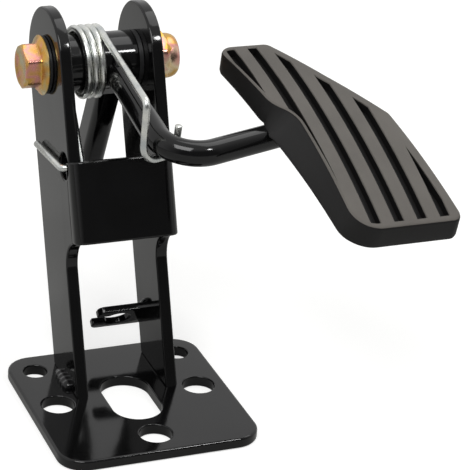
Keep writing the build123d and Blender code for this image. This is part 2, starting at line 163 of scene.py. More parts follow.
class PivotSizes(bpy.types.PropertyGroup):
    """Sizes of the bolt, the nut and the tube at the pivot."""

    bolt: length("Bolt", 10.0, "Diameter of the bolt's thread")
    hex_flats: length("Head across flats", 14.6, "Width of the bolt's hexagon")
    head: length("Head height", 9.0, "Height of the bolt's head with its flange")
    flange: length("Flange", 21.2, "Diameter of the bolt's flange")
    flange_thickness: length("Flange thickness", 3.1, "Thickness of the bolt's flange at the hexagon")
    # The dark washer also paints the shade under the bolt's flange
    washer: length("Washer", 1.3, "Thickness of the dark washer under the bolt's flange")
    nut_flats: length("Nut across flats", 17.0, "Width of the nut's hexagon")
    nut: length("Nut height", 10.3, "Height of the nut with its collar")
    collar: length("Nut collar", 4.2, "Height of the nut's round collar")
    tube: length("Tube", 20.3, "Outer diameter of the pivot tube")
    tube_bore: length("Tube bore", 16.3, "Bore of the pivot tube")
    tube_half: length("Tube half", 12.9, "Half the length of the pivot tube")


class ArmSizes(bpy.types.PropertyGroup):
    """Sizes of the rod arm and the cable lever."""

    rest: turn("Rest", 9.5, "How far the arm drops to the front at rest")
    rod: length("Rod", 9.0, "Diameter of the arm's rod")
    across: length("Across", 4.6, "Place of the arm along the pivot tube")
    corner: length("Corner", -67.9, "Where the rod turns towards the pad")
    heading: turn("Heading", 14.1, "Slant of the rod under the pad")
    bend: length("Bend", 13.0, "Radius of the rod's bend at its middle line")
    end: length("End", 61.0, "Length of the rod under the pad")
    lever_angle: turn("Lever angle", 24.5, "How far the lever hangs back from plumb")
    lever_x: length("Lever across", 6.5, "Middle of the lever along the tube")
    lever: length("Lever", 58.0, "Distance of the lever's pin hole from the pivot")
    lever_width: length("Lever width", 9.0, "Width over the lever's flanges")
    lever_depth: length("Lever depth", 10.0, "Depth of the lever's flanges")
    lever_sheet: length("Lever sheet", 2.0, "Thickness of the lever's sheet")
    lever_bend: length("Lever bend", 3.0, "Outer radius of the lever's folds")
    pin_hole: length("Pin hole", 6.0, "Diameter of the hole for the cable's pin")
    pin_slot: length("Cable slot", 3.4, "Width of the slot that lets the cable in")


class PadSizes(bpy.types.PropertyGroup):
    """Sizes of the rubber pad, in the arm's own plane."""

    crown_radius: length("Crown radius", 274.0, "Radius of the pad's long curve")
    crown_y: length("Crown place", -34.0, "Highest place of the pad's curve")
    crown_height: length("Crown height", 13.606, "Top of the pad above the rod's middle")
    thickness: length("Thickness", 8.6, "Depth of the pad's skirt")
    cover: length("Cover", 6.3, "Rubber above the backing plate")
    skirt: length("Skirt", 3.0, "Wall of the skirt round the backing plate")
    corner: length("Corner", 5.5, "Radius of the pad's back left corner and knee")
    corner_front: length("Front corner", 3.2, "Radius of the front and back right corners")
    corner_wide: length("Wide corner", 10.0, "Radius of the front left corner")
    waist_round: length("Waist round", 13.0, "Radius of both curves at the waist")
    back_y: length("Back", -18.8, "Back end of the pad")
    back_left: length("Back left", 36.4, "Left corner of the pad's back end")
    back_right: length("Back right", 56.2, "Right corner of the pad's back end")
    waist_left: length("Waist", 42.4, "Left edge where the narrow back part ends")
    waist_y: length("Waist place", -56.5, "Where the narrow back part ends")
    hip_left: length("Hip", 49.0, "Left edge where the front part starts")
    hip_y: length("Hip place", -63.8, "Where the front part starts")
    waist_flare: length("Waist flare", 2.2, "How far the left wall leans out where the narrow back part ends")
    hip_flare: length("Hip flare", 8.6, "How far the left wall leans out at the hip")
    toe_flare: length("Toe flare", 2.4, "How far the left wall leans out at the front")
    front_tuck: length("Front tuck", 0.6, "How far the front wall leans in")
    flank_start: length("Flank start", 1.0, "How far under the rim the flank starts")
    front_y: length("Front", -117.6, "Front end of the pad")
    front_left: length("Front left", 50.4, "Left corner of the pad's front end")
    front_right: length("Front right", 89.3, "Right corner of the pad's front end")
    knee_right: length("Knee", 82.5, "Right edge where the pad stops widening")
    hollow: length("Hollow", 0.7, "How far the slanting right edge bows in")
    hollow_round: length("Hollow round", 60.0, "Radius of that bow")
    knee_y: length("Knee place", -67.4, "Where the pad stops widening")
    groove_first: length("First groove", 41.2, "Middle of the leftmost groove")
    groove_pitch: length("Groove pitch", 8.34, "Distance between grooves")
    groove_width: length("Groove width", 3.3, "Width of a groove")
    groove_depth: length("Groove depth", 3.2, "Depth of a groove")
    groove_margin: length("Groove margin", 2.4, "Rubber left between a groove's end and the rim")
    groove_shift: length("Groove shift", -1.1, "How far the grooved field lies off the pad's middle")
    grooves: tally("Grooves", 6, "Number of grooves")


class SpringSizes(bpy.types.PropertyGroup):
    """Sizes of the return spring."""

    wire: length("Wire", 2.5, "Diameter of the wire")
    clearance: length("Coil clearance", 0.6, "Gap between the coil and the tube")
    pitch: length("Coil pitch", 2.6, "Distance between the coil's turns")
    right: length("Coil end", 0.6, "Right end of the coil along the tube")
    bend: length("Wire bend", 2.6, "Radius of the wire's corners")
    tail_bend: length("Tail bend", 2.0, "Radius of the corners at the anchor hole")
    hook_bend: length("Hook bend", 6.0, "Radius of the hook's lower corner")
    tail_y: length("Tail along", -5.6, "Where the wire passes through the anchor hole, along the leg's depth")
    tail_z: length("Tail up", 84.0, "Where the wire passes through the anchor hole, up the leg")
    tail_end_y: length("Tail end along", 22.0, "End of the wire along the leg's depth")
    tail_end_z: length("Tail end up", 92.0, "End of the wire up the leg")
    hook_x: length("Hook across", -2.0, "Place of the hook's drop along the tube")
    hook_top_y: length("Hook top", -55.5, "Upper corner of the hook along the arm")
    hook_rise: length("Hook rise", 16.4, "Upper corner of the hook above the arm")
    hook_low_y: length("Hook low", -58.0, "Lower corner of the hook along the arm")
    stub_x: length("Stub across", 11.3, "Place of the wire's end across the arm")
    stub_y: length("Stub along", -53.6, "Place of the wire's end along the arm")
    stub_rise: length("Stub rise", 5.0, "Top of the wire's end above the arm's middle")
    turns: tally("Turns", 3, "Whole turns in the coil")


class Finishes(bpy.types.PropertyGroup):
    """Colours of the pedal's finishes."""

    enamel: shade("Enamel", "#090909", "Black stove enamel")
    rubber: shade("Rubber", "#121111", "Moulded black rubber")
    # Painted sheen: the paler rubber colour stands for the light on the pad's lands
    painted_sheen: shade("Rubber bloom", "#5b5752", "Pale bloom on the pad's lands")
    gold: shade("Zinc gold", "#d2a44e", "Main tone of the yellow passivation")
    pink: shade("Zinc pink", "#d9948f", "Pink tone of the yellow passivation")
    olive: shade("Zinc olive", "#bdb188", "Green tone of the yellow passivation")
    cream: shade("Zinc cream", "#e6d3ae", "Palest tone of the yellow passivation")
    wire: shade("Wire", "#e8e8e1", "Bright zinc on spring wire")
    nylon: shade("Nylon", "#1b1b1c", "Dark nylon of the bushes")
    floor: shade("Floor", "#b6b6b4", "Pale studio floor")


GROUPS = {
    "pedal_plate": PlateSizes,
    "pedal_bracket": BracketSizes,
    "pedal_pivot": PivotSizes,
    "pedal_arm": ArmSizes,
    "pedal_pad": PadSizes,
    "pedal_spring": SpringSizes,
    "pedal_finish": Finishes,
}


# Outlines

def arc(centre, radius, start, end, steps):
    """Points on a circle from one angle to another, in degrees."""
    angles = [radians(start + (end - start) * step / steps) for step in range(steps + 1)]
    return [Vector((centre[0] + radius * cos(a), centre[1] + radius * sin(a))) for a in angles]


def circle(centre, radius, steps=48):
    """A hole's outline, clockwise."""
    return arc(centre, radius, 360, 0, steps)[:-1]


def corner_arc(before, corner, after, radius):
    """Middle of the arc that rounds a corner, and the arc's two ends as seen from there."""
    inward = (before - corner).normalized()
    outward = (after - corner).normalized()
    half = inward.angle(outward) / 2
    centre = corner + (inward + outward).normalized() * (radius / sin(half))
    run = radius / tan(half)
    return centre, corner + inward * run - centre, corner + outward * run - centre


def rounded(corners, radii, steps=7):
    """Closed outline whose corners are arcs, each of its own radius."""
    outline = []
    count = len(corners)
    for at, (corner, radius) in enumerate(zip(corners, radii)):
        here = Vector(corner)
        if radius <= 0:
            outline.append(here)
            continue
        before, after = Vector(corners[at - 1]), Vector(corners[(at + 1) % count])
        centre, first, last = corner_arc(before, here, after, radius)
        sweep = first.angle_signed(last)
        for step in range(steps + 1):
            spin = Matrix.Rotation(-sweep * step / steps, 2)
            outline.append(centre + spin @ first)
    return outline


def offsets(outline):
    """Sideways direction at each point of a closed outline, towards its left, mitred."""
    ways = []
    count = len(outline)
    for at, point in enumerate(outline):
        before = (point - outline[at - 1]).normalized()
        after = (outline[(at + 1) % count] - point).normalized()
        left = Vector((-before.y - after.y, before.x + after.x))
        share = max(0.35, 1 + before.dot(after))
        ways.append(left / share)
    return ways


def strip(outline, low, high):
    """The part of a closed outline whose first coordinate lies between two values."""
    for limit, way in ((low, 1), (high, -1)):
        kept = []
        for at, point in enumerate(outline):
            last = outline[at - 1]
            here, there = way * (point.x - limit), way * (last.x - limit)
            if (here > 0) != (there > 0):
                kept.append(last.lerp(point, there / (there - here)))
            if here > 0:
                kept.append(point.copy())
        outline = kept
    return outline


def thinned(outline, least):
    """The outline without points that crowd their neighbour."""
    kept = []
    for point in outline:
        if not kept or (point - kept[-1]).length > least:
            kept.append(point)
    if (kept[0] - kept[-1]).length < least:
        kept.pop()
    return kept


def bent(points, radius, steps=8):
    """Path through the points with each inner corner rounded."""
    path = [points[0]]
    for before, corner, after in zip(points, points[1:], points[2:]):
        centre, first, last = corner_arc(before, corner, after, radius)
        axis = first.cross(last)
        for step in range(steps + 1):
            path.append(centre + Matrix.Rotation(first.angle(last) * step / steps, 3, axis) @ first)
    return path + [points[-1]]


def folded(along, out, flat, sheet, bend):
    """Where a point of a flat sheet lies, across and behind its front, once both sides are folded back."""
    mid = bend - sheet / 2
    fold = pi / 2 * mid
    over = abs(along) - flat
    if over <= 0:
        return along, sheet / 2 - out
    angle = min(over, fold) / mid
    across = flat + (mid + out) * sin(angle)
    deep = bend - (mid + out) * cos(angle) + max(0.0, over - fold)
    return copysign(across, along), deep


def hexagon(apothem, blunt):
    """Reach of a hexagon with blunted corners, as a function of the angle."""
    def reach(angle):
        away = (angle + pi / 6) % (pi / 3) - pi / 6
        return min(apothem / cos(away), apothem * blunt)
    return reach


def chamfer(top, start, reach, way):
    """Place along the axis of a 30 degree chamfer that begins at a given radius."""
    return lambda angle: top + way * max(0.0, reach(angle) - start) * tan(radians(30))


class Skin:
    """Collects the rings, walls and fills of one piece."""

    def __init__(self):
        self.mesh = bmesh.new()

    def ring(self, points):
        return [self.mesh.verts.new(point) for point in points]

    def wall(self, first, second):
        count = len(first)
        for at in range(count):
            after = (at + 1) % count
            self.mesh.faces.new((first[at], first[after], second[after], second[at]))

    def walls(self, rings):
        for first, second in zip(rings, rings[1:]):
            self.wall(first, second)

    def fill(self, *rings):
        edges = []
        for ring in rings:
            for at, vert in enumerate(ring):
                pair = (ring[at - 1], vert)
                edges.append(self.mesh.edges.get(pair) or self.mesh.edges.new(pair))
        bmesh.ops.triangle_fill(self.mesh, use_beauty=True, edges=edges)

    def cap(self, ring, centre):
        hub = self.mesh.verts.new(centre)
        for at, vert in enumerate(ring):
            self.mesh.faces.new((ring[at - 1], vert, hub))

    def slab(self, outlines, low, high, edge, steps=3, hole_edge=None):
        """A flat plate with holes and rounded edges. Holes run clockwise."""
        floors, roofs = [], []
        for at, outline in enumerate(outlines):
            ways = offsets(outline)
            soft = hole_edge if at and hole_edge else edge
            curve = [radians(90 * step / steps) for step in range(steps + 1)]
            levels = [(soft * (1 - sin(a)), low + soft * (1 - cos(a))) for a in curve]
            levels += [(soft * (1 - sin(a)), high - soft * (1 - cos(a))) for a in reversed(curve)]
            rings = []
            for inset, level in levels:
                rings.append(self.ring([(*(p + w * inset), level) for p, w in zip(outline, ways)]))
            self.walls(rings)
            floors.append(rings[0])
            roofs.append(rings[-1])
        self.fill(*floors)
        self.fill(*roofs)

    def bar(self, path, radius, sides=20, ease=0.3 * MM):
        """A round bar along a path, its section carried without twist."""
        count = len(path)
        ways = []
        for at in range(count):
            ways.append((path[min(at + 1, count - 1)] - path[max(at - 1, 0)]).normalized())
        stations = [(path[0], ways[0], radius - ease), (path[0] + ways[0] * ease, ways[0], radius)]
        stations += [(p, w, radius) for p, w in zip(path[1:-1], ways[1:-1])]
        stations += [(path[-1] - ways[-1] * ease, ways[-1], radius), (path[-1], ways[-1], radius - ease)]
        side = ways[0].orthogonal().normalized()
        rings = []
        for point, way, reach in stations:
            side = (side - way * side.dot(way)).normalized()
            other = way.cross(side)
            spokes = [2 * pi * step / sides for step in range(sides)]
            rings.append(self.ring([point + reach * (cos(a) * side + sin(a) * other) for a in spokes]))
        self.walls(rings)
        self.cap(rings[0], path[0])
        self.cap(rings[-1], path[-1])

    def turned(self, profile, centre, axis, sides=72, closed=False):
        """A turned shape from pairs of place and radius, each a number or a function of the angle."""
        side = Vector((0, 1, 0))
        other = axis.cross(side)
        rings = []
        for place, reach in profile:
            points = []
            for step in range(sides):
                a = 2 * pi * step / sides
                along = place(a) if callable(place) else place
                out = reach(a) if callable(reach) else reach
                points.append(centre + axis * along + out * (cos(a) * side + sin(a) * other))
            rings.append(self.ring(points))
        self.walls(rings)
        if closed:
            self.wall(rings[-1], rings[0])
        return rings

    def cut(self, axis, places):
        """Adds edge loops where an axis takes the given values."""
        way = Vector([1.0 if at == axis else 0.0 for at in range(3)])
        for place in places:
            everything = self.mesh.verts[:] + self.mesh.edges[:] + self.mesh.faces[:]
            bmesh.ops.bisect_plane(self.mesh, geom=everything, dist=1e-7, plane_co=way * place, plane_no=way)

    def place(self, function):
        """Moves every point from the flat pattern to its place."""
        for vert in self.mesh.verts:
            vert.co = function(*vert.co)

    def take(self, other):
        """Adds the mesh of another skin, which is then spent."""
        part = bpy.data.meshes.new("part")
        other.mesh.to_mesh(part)
        other.mesh.free()
        self.mesh.from_mesh(part)
        bpy.data.meshes.remove(part)

    def painted(self, context, name, body, node, sharp=40):
        """The piece in black enamel, in place of its CAD node."""
        return self.piece(name, finished(context, ENAMEL), body, [node], sharp)

    def piece(self, name, material, body, nodes=(), sharp=40, second=None):
        """Closes the mesh and makes it an object, which rides on a body where one is given."""
        bmesh.ops.remove_doubles(self.mesh, verts=self.mesh.verts[:], dist=1e-7)
        bmesh.ops.recalc_face_normals(self.mesh, faces=self.mesh.faces[:])
        data = bpy.data.meshes.new(name)
        self.mesh.to_mesh(data)
        self.mesh.free()
        data.shade_smooth()
        data.set_sharp_from_angle(angle=radians(sharp))
        for finish in (material, second):
            if finish:
                data.materials.append(finish)
        made = bpy.data.objects.new(name, data)
        bpy.context.scene.collection.objects.link(made)
        if body:
            # Flat faces keep their own normals beside the rounded edges, so that they mirror cleanly
            level = made.modifiers.new("flat_faces", "WEIGHTED_NORMAL")
            level.mode = "FACE_AREA"
            level.weight = 90
            level.keep_sharp = True
        if nodes:
            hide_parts(*nodes)
        if body:
            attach(made, body)
        return made


# Places on the object

def leg_point(size, across, along, up):
    """Point given across, along and up the leaning legs."""
    c, s = cos(size.lean), sin(size.lean)
    return Vector((across, size.foot_y + along * c + up * s, PLATE_HIGH.z - along * s + up * c))


def arm_point(size, across, along, up):
    """Point given across, along and above the arm's plane."""
    c, s = cos(size.rest), sin(size.rest)
    return PIVOT + Vector((across, along * c - up * s, along * s + up * c))


def dress(material, *nodes):
    """Gives CAD nodes that stay in view their finish."""
    for node in nodes:
        data = frame["nodes"][node].data
        data.materials.clear()
        data.materials.append(material)


# Materials

def add(tree, kind, inputs=None, stops=(), **settings):
    """Adds a node, sets its settings and a ramp's stops, and sets or links its inputs."""
    node = tree.nodes.new(kind)
    for name, value in settings.items():
        setattr(node, name, value)
    for name, value in (inputs or {}).items():
        if isinstance(value, bpy.types.NodeSocket):
            tree.links.new(value, node.inputs[name])
        else:
            node.inputs[name].default_value = value
    if stops:
        band = node.color_ramp.elements
        while len(band) < len(stops):
            band.new(0.5)
        for element, (place, colour) in zip(band, stops):
            element.position = place
            element.color = colour
    return node


def blank(name):
    """A new material whose node tree is empty."""
    made = bpy.data.materials.new(name)
    made.use_nodes = True
    made.node_tree.nodes.clear()
    return made, made.node_tree


def grit(size):
    """Scale of a noise whose features are about the given size."""
    return 1.0 / size


def coat(made, tone, rough, relief, **shader):
    """Joins a material's colour, roughness and relief in its shader."""
    tree = made.node_tree
    bump = add(tree, "ShaderNodeBump", relief)
    skin = add(tree, "ShaderNodeBsdfPrincipled", {
        "Base Color": tone.outputs["Color"], "Roughness": rough, "Normal": bump.outputs["Normal"], **shader,
    })
    add(tree, "ShaderNodeOutputMaterial", {"Surface": skin.outputs["BSDF"]})
    return made


def black_enamel(name, finish):
    """Stove enamel sprayed on steel: deep black, glossy, with a faint orange peel."""
    made, tree = blank(name)
    where = add(tree, "ShaderNodeTexCoord").outputs["Object"]
    flow = add(tree, "ShaderNodeTexNoise", {"Vector": where, "Scale": grit(14 * MM), "Detail": 2.0})
    # Real peel is near 1 mm, drawn a little coarser so that it shows
    peel = add(tree, "ShaderNodeTexNoise", {"Vector": where, "Scale": grit(2.2 * MM), "Detail": 1.0})
    stops = [(0.3, finish.enamel), (0.75, linear("#0d0d0e"))]
    tone = add(tree, "ShaderNodeValToRGB", {"Fac": flow.outputs["Fac"]}, stops)
    rough = add(tree, "ShaderNodeMapRange", {"Value": flow.outputs["Fac"], "To Min": 0.07, "To Max": 0.12})
    relief = {"Height": peel.outputs["Fac"], "Strength": 0.05, "Distance": 0.1 * MM}
    return coat(made, tone, rough.outputs["Result"], relief, IOR=1.42)


def moulded_rubber(name, colour):
    """Pressed rubber: dull black with a mould grain; the paler copy on the pad's lands is a painted sheen."""
    made, tree = blank(name)
    where = add(tree, "ShaderNodeTexCoord").outputs["Object"]
    cloud = add(tree, "ShaderNodeTexNoise", {"Vector": where, "Scale": grit(16 * MM), "Detail": 3.0})
    # Mould grain is near 0.2 mm, drawn coarser so that it shows
    grain = add(tree, "ShaderNodeTexNoise", {"Vector": where, "Scale": grit(0.5 * MM), "Detail": 2.0})
    dull = [channel * 0.82 for channel in colour[:3]] + [1.0]
    tone = add(tree, "ShaderNodeValToRGB", {"Fac": cloud.outputs["Fac"]}, [(0.3, dull), (0.7, colour)])
    rough = add(tree, "ShaderNodeMapRange", {"Value": grain.outputs["Fac"], "To Min": 0.44, "To Max": 0.58})
    relief = {"Height": grain.outputs["Fac"], "Strength": 0.14, "Distance": 0.05 * MM}
    return coat(made, tone, rough.outputs["Result"], relief, IOR=1.38)


def yellow_zinc(name, start, run, stops):
    """Zinc with a yellow chromate: gold metal that drifts to pink and olive the way the rinse ran off it."""
    made, tree = blank(name)
    where = add(tree, "ShaderNodeTexCoord").outputs["Object"]
    away = add(tree, "ShaderNodeVectorMath", {0: where, 1: start}, operation="SUBTRACT")
    flow = add(tree, "ShaderNodeVectorMath", {0: away.outputs["Vector"], 1: run}, operation="DOT_PRODUCT")
    drift = add(tree, "ShaderNodeTexNoise", {
        "Vector": where, "Scale": grit(6 * MM), "Detail": 1.0, "Distortion": 0.6,
    })
    film = add(tree, "ShaderNodeMath", {
        0: drift.outputs["Fac"], 1: 0.8, 2: flow.outputs["Value"],
    }, operation="MULTIPLY_ADD")
    tone = add(tree, "ShaderNodeValToRGB", {"Fac": film.outputs["Value"]}, stops)
    # Tumbling leaves fine scuffs near 0.3 mm, drawn coarser so that they show
    scuff = add(tree, "ShaderNodeTexNoise", {"Vector": where, "Scale": grit(0.9 * MM), "Detail": 3.0})
    rough = add(tree, "ShaderNodeMapRange", {"Value": scuff.outputs["Fac"], "To Min": 0.22, "To Max": 0.36})
    relief = {"Height": scuff.outputs["Fac"], "Strength": 0.10, "Distance": 0.05 * MM}
    return coat(made, tone, rough.outputs["Result"], relief, Metallic=1.0)


def bright_zinc(name, finish):
    """Drawn spring wire with a clear zinc plate: bright, with a fine, faintly uneven polish."""
    made, tree = blank(name)
    where = add(tree, "ShaderNodeTexCoord").outputs["Object"]
    cloud = add(tree, "ShaderNodeTexNoise", {"Vector": where, "Scale": grit(5 * MM), "Detail": 2.0})
    draw = add(tree, "ShaderNodeTexNoise", {"Vector": where, "Scale": grit(0.6 * MM), "Detail": 1.0})
    stops = [(0.3, linear("#c2c6c6")), (0.7, finish.wire)]
    tone = add(tree, "ShaderNodeValToRGB", {"Fac": cloud.outputs["Fac"]}, stops)
    rough = add(tree, "ShaderNodeMapRange", {"Value": draw.outputs["Fac"], "To Min": 0.25, "To Max": 0.31})
    relief = {"Height": draw.outputs["Fac"], "Strength": 0.03, "Distance": 0.02 * MM}
    return coat(made, tone, rough.outputs["Result"], relief, Metallic=1.0)


def dark_nylon(name, finish):
    """Moulded nylon: dark, soft sheen, with a fine mould texture."""
    made, tree = blank(name)
    where = add(tree, "ShaderNodeTexCoord").outputs["Object"]
    grain = add(tree, "ShaderNodeTexNoise", {"Vector": where, "Scale": grit(0.4 * MM), "Detail": 2.0})
    stops = [(0.3, finish.nylon), (0.8, linear("#262627"))]
    tone = add(tree, "ShaderNodeValToRGB", {"Fac": grain.outputs["Fac"]}, stops)
    relief = {"Height": grain.outputs["Fac"], "Strength": 0.2, "Distance": 0.03 * MM}
    return coat(made, tone, 0.45, relief, IOR=1.53)


def finished(context, name):
    """The shared finish of that name, made when it is first asked for."""
    make = {ENAMEL: black_enamel, WIRE: bright_zinc, NYLON: dark_nylon}[name]
    return bpy.data.materials.get(name) or make(name, context.scene.pedal_finish)


# Operators

class PEDAL_OT_base_plate(bpy.types.Operator):
    """Makes the base plate with its holes and rounded, painted edges"""

    bl_idname = "pedal.base_plate"
    bl_label = "Base plate"

    def execute(self, context):
        size = context.scene.pedal_plate
        low, high = PLATE_LOW, PLATE_HIGH
        corners = [(low.x, low.y), (high.x, low.y), (high.x, high.y), (low.x, high.y)]
        outlines = [rounded(corners, [size.corner] * 4, steps=12)]
        holes = [
            (-size.side_hole_x, 0, size.large_hole), (size.side_hole_x, 0, size.large_hole),
            (0, -size.front_hole_y, size.large_hole),
            (-size.back_hole_x, size.back_hole_y, size.small_hole),
            (size.back_hole_x, size.back_hole_y, size.small_hole),
        ]
        outlines += [circle((across, along), wide / 2) for across, along, wide in holes]
        half = size.slot_width / 2
        run = size.slot_length / 2 - half
        slot = arc((0, size.slot_y + run), half, 180, 0, steps=24)
        slot += arc((0, size.slot_y - run), half, 0, -180, steps=24)
        skin = Skin()
        skin.slab(outlines + [slot], low.z, high.z, size.edge, 4, size.hole_edge)
        skin.painted(context, "base_plate_steel", STAND, "base_plate")
        return {"FINISHED"}


class PEDAL_OT_bracket(bpy.types.Operator):
    """Makes the folded bracket: two leaning legs joined by a front web"""

    bl_idname = "pedal.bracket"
    bl_label = "Bracket"

    def execute(self, context):
        size = context.scene.pedal_bracket
        # The legs' front steps back just under the web's top, and the web's ends run into the legs
        tucked, overlap = 1.6 * MM, 1.2 * MM
        outer = BRACKET_HIGH.x
        slope = tan(size.lean)
        middle = (size.front + size.back) / 2
        top = (size.back - size.front) / 2
        notch = size.lower_front - size.relief
        step_back = size.web_top - tucked
        profile = [
            Vector((size.lower_front, size.lower_front * slope)), Vector((size.back, size.back * slope)),
            *arc((middle, size.height), top, 0, 180, steps=40),
            Vector((size.front, step_back)), Vector((notch, step_back)),
            *arc((notch, size.web_bottom - size.relief), size.relief, 90, 0, steps=12),
        ]
        pivot_hole = circle((size.pivot_along, size.pivot_up), size.pivot_hole / 2, steps=32)
        anchor = circle((size.anchor_y, size.anchor_z), size.anchor_hole / 2, steps=32)
        skin = Skin()
        for side, holes in ((-1, [pivot_hole, anchor]), (1, [pivot_hole])):
            leg = Skin()
            leg.slab([profile] + holes, outer - size.sheet, outer, size.edge)
            leg.place(lambda along, up, across: leg_point(size, side * across, along, up))
            skin.take(leg)

        flat = outer - size.bend
        fold = pi / 2 * (size.bend - size.sheet / 2)
        flange = notch - size.web_front - size.bend + overlap
        reach = flat + fold + flange
        low, high = size.web_bottom, size.web_top
        corners = [(-reach, low), (reach, low), (reach, high), (-reach, high)]

        def wrapped(along, up, out):
            across, deep = folded(along, out, flat, size.sheet, size.bend)
            return leg_point(size, across, size.web_front + deep, up)

        web = Skin()
        web.slab([[Vector(corner) for corner in corners]], -size.sheet / 2, size.sheet / 2, size.edge)
        web.cut(0, [side * (flat + fold * step / 8) for side in (-1, 1) for step in range(9)])
        web.place(wrapped)
        skin.take(web)
        skin.painted(context, "bracket_steel", STAND, "bracket")
        return {"FINISHED"}


class PEDAL_OT_cable_fork(bpy.types.Operator):
    """Makes the slotted tab that holds the cable's outer"""

    bl_idname = "pedal.cable_fork"
    bl_label = "Cable fork"

    def execute(self, context):
        size = context.scene.pedal_bracket
        sunk, tip, edge = 0.6 * MM, 0.5 * MM, 0.4 * MM
        root = BRACKET_HIGH.x - size.sheet - size.fork_x + sunk
        half, slit, bore = size.fork_width / 2, size.fork_slit / 2, size.fork_bore / 2
        mouth = sqrt(bore ** 2 - slit ** 2)
        gap = degrees(atan2(slit, mouth))
        opening = arc((0, 0), bore, 180 - gap, gap - 180, steps=32)
        reach, corner = -size.fork_reach, size.fork_corner
        corners = [(-mouth, -slit), (reach, -slit), (reach, -half), (root, -half)]
        corners += [(root, half), (reach, half), (reach, slit), (-mouth, slit)]
        outline = rounded(corners, [0, tip, corner, 0, 0, corner, tip, 0])
        outline += opening[1:-1]
        c, s = cos(size.fork_tilt), sin(size.fork_tilt)
        skin = Skin()
        skin.slab([outline], -size.fork_thickness, 0, edge)
        skin.place(lambda x, y, z: Vector((
            size.fork_x + x, size.fork_y + y * c + z * s, size.fork_z - y * s + z * c,
        )))
        skin.painted(context, "cable_fork_steel", STAND, "cable_fork")
        return {"FINISHED"}


